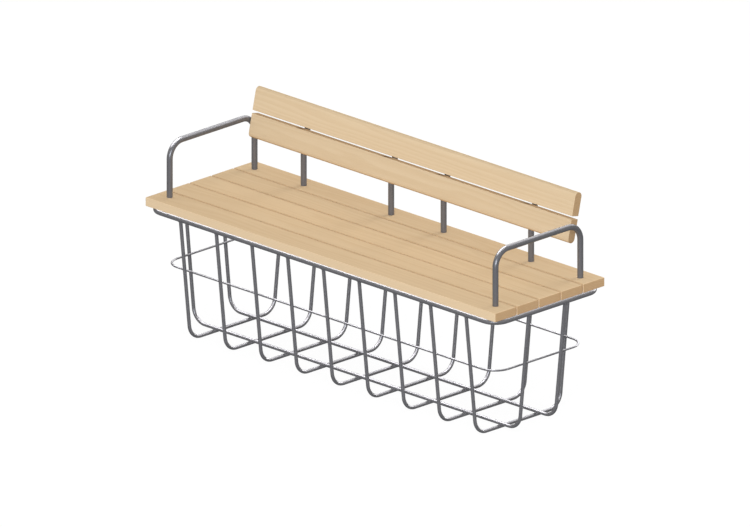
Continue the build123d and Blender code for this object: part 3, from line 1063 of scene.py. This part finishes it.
def bench_lights(look):
    """Main light, low light from behind, panels that show in the steel, and a light on the cage."""
    key = soft_light(
        "key", direction=(0.61, -0.78, 0.139), distance=24.0, size=(14.0, 14.0),
        power=look.key_power, colour=(0.92, 1.0, 1.13))
    pass_by(key, ARMRESTS)
    rim = soft_light(
        "rim", direction=(0.12, 0.97, 0.20), distance=12.0, size=(6.0, 6.0),
        power=look.rim_power, colour=(1.0, 1.0, 1.0))
    pass_by(rim, BOARDS[1:], unlit=ARMRESTS)
    reflector(
        "top_panel", look.top_panel_power, direction=(0, 0, 1), size=(10.6, 7.2),
        nodes=TIMBER, state="EXCLUDE", aim=(-4.1, -0.3, 0.4))
    reflector(
        "back_panel", look.back_panel_power, direction=(-0.15, 0.70, 0.70), size=(9.0, 9.0),
        nodes=TIMBER + ARMRESTS, state="EXCLUDE")
    reflector(
        "rail_panel", look.rail_panel_power, direction=(-0.19, 0.60, 0.78), size=(7.4, 7.4),
        nodes=ARMRESTS, state="INCLUDE", aim=(0, 0, 0.6))
    reflector(
        "bend_panel", look.bend_panel_power, direction=(0.10, -0.55, 0.80), size=(14.0, 10.0),
        nodes=HOOPS, state="INCLUDE")
    reflector(
        "cage_panel", look.cage_panel_power, direction=(-0.15, 0.70, 0.70), size=(9.0, 9.0),
        nodes=ABOVE_RING, state="EXCLUDE")
    fill = soft_light(
        "cage_fill", direction=(0.45, -0.55, 0.70), distance=12.0, size=(6.0, 6.0),
        power=look.fill_power, colour=(1.0, 0.98, 0.98))
    pass_by(fill, ABOVE_RING, unlit=ABOVE_RING)


def studio_world(above, level, below):
    """Even light from all round, brightest from above, behind a white backdrop."""
    world = bpy.data.worlds.new("studio")
    bpy.context.scene.world = world
    world.use_nodes = True
    tree = world.node_tree
    way = tree.nodes.new("ShaderNodeTexCoord").outputs["Generated"]
    height = new_node(tree, "ShaderNodeSeparateXYZ", Vector=way).outputs["Z"]
    ramp = new_node(tree, "ShaderNodeValToRGB", Fac=remap(tree, height, -1.0, 1.0))
    ramp.color_ramp.elements[0].color = (below, below, below, 1)
    ramp.color_ramp.elements[1].color = (above, above, above, 1)
    ramp.color_ramp.elements.new(0.5).color = (level, level, level, 1)
    light = tree.nodes["Background"]
    tree.links.new(ramp.outputs["Color"], light.inputs["Color"])
    backdrop = new_node(tree, "ShaderNodeBackground", Color=(1, 1, 1))
    seen = tree.nodes.new("ShaderNodeLightPath").outputs["Is Camera Ray"]
    mixed = new_node(
        tree, "ShaderNodeMixShader", Fac=seen, in_1=light.outputs["Background"],
        in_2=backdrop.outputs["Background"])
    tree.links.new(mixed.outputs["Shader"], tree.nodes["World Output"].inputs["Surface"])


def parallel_camera(look):
    """Camera with a parallel view of the bench, aimed a little below the middle of the seat."""
    camera = bpy.data.cameras.new("camera")
    camera.type = "ORTHO"
    camera.ortho_scale = look.picture_width
    eye = bpy.data.objects.new("camera", camera)
    bpy.context.scene.collection.objects.link(eye)
    level = math.cos(look.elevation)
    back = Vector((
        math.sin(look.azimuth) * level, -math.cos(look.azimuth) * level, math.sin(look.elevation)))
    eye.rotation_euler = back.to_track_quat("Z", "Y").to_euler()
    up = eye.rotation_euler.to_matrix() @ Vector((0, 1, 0))
    seat = Vector((0, 0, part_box(SLATS[0])[1][2]))
    eye.location = seat - up * look.aim_drop + back * look.distance
    bpy.context.scene.camera = eye


class BENCH_OT_stage(bpy.types.Operator):
    """Set the floor, the light and the camera"""

    bl_idname = "bench.stage"
    bl_label = "Stage"

    def execute(self, context):
        look = context.scene.bench_stage
        context.scene.view_settings.view_transform = "Standard"
        white_floor(look.floor_size, look.floor_glow)
        bench_lights(look)
        studio_world(above=0.82, level=0.46, below=0.20)
        parallel_camera(look)
        return {"FINISHED"}


OPERATORS = (
    BENCH_OT_timber,
    BENCH_OT_frame_steel,
    BENCH_OT_leg_welds,
    BENCH_OT_crossing_welds,
    BENCH_OT_belt_welds,
    BENCH_OT_bearer_welds,
    BENCH_OT_plate_welds,
    BENCH_OT_slat_screws,
    BENCH_OT_board_screws,
    BENCH_OT_leg_bolts,
    BENCH_OT_stage,
)

SETTINGS = {
    "bench_timber": TimberFinish,
    "bench_steel": SteelFinish,
    "bench_frame": FrameSizes,
    "bench_fasteners": FastenerSizes,
    "bench_stage": StageLook,
}


class BENCH_PT_panel(bpy.types.Panel):
    """The bench's finishes, pieces and stage"""

    bl_label = "Gabion bench"
    bl_idname = "BENCH_PT_panel"
    bl_space_type = "VIEW_3D"
    bl_region_type = "UI"
    bl_category = "Bench"

    def draw(self, context):
        for operator in OPERATORS:
            self.layout.operator(operator.bl_idname)


def register():
    for group in SETTINGS.values():
        bpy.utils.register_class(group)
    for name, group in SETTINGS.items():
        setattr(bpy.types.Scene, name, bpy.props.PointerProperty(type=group))
    for operator in OPERATORS:
        bpy.utils.register_class(operator)
    bpy.utils.register_class(BENCH_PT_panel)


def unregister():
    bpy.utils.unregister_class(BENCH_PT_panel)
    for operator in reversed(OPERATORS):
        bpy.utils.unregister_class(operator)
    for name, group in SETTINGS.items():
        delattr(bpy.types.Scene, name)
        bpy.utils.unregister_class(group)


def main():
    register()
    bpy.ops.bench.timber()
    bpy.ops.bench.frame_steel()
    bpy.ops.bench.leg_welds()
    bpy.ops.bench.crossing_welds()
    bpy.ops.bench.belt_welds()
    bpy.ops.bench.bearer_welds()
    bpy.ops.bench.plate_welds()
    bpy.ops.bench.slat_screws()
    bpy.ops.bench.board_screws()
    bpy.ops.bench.leg_bolts()
    bpy.ops.bench.stage()


if __name__ == "__main__":
    main()
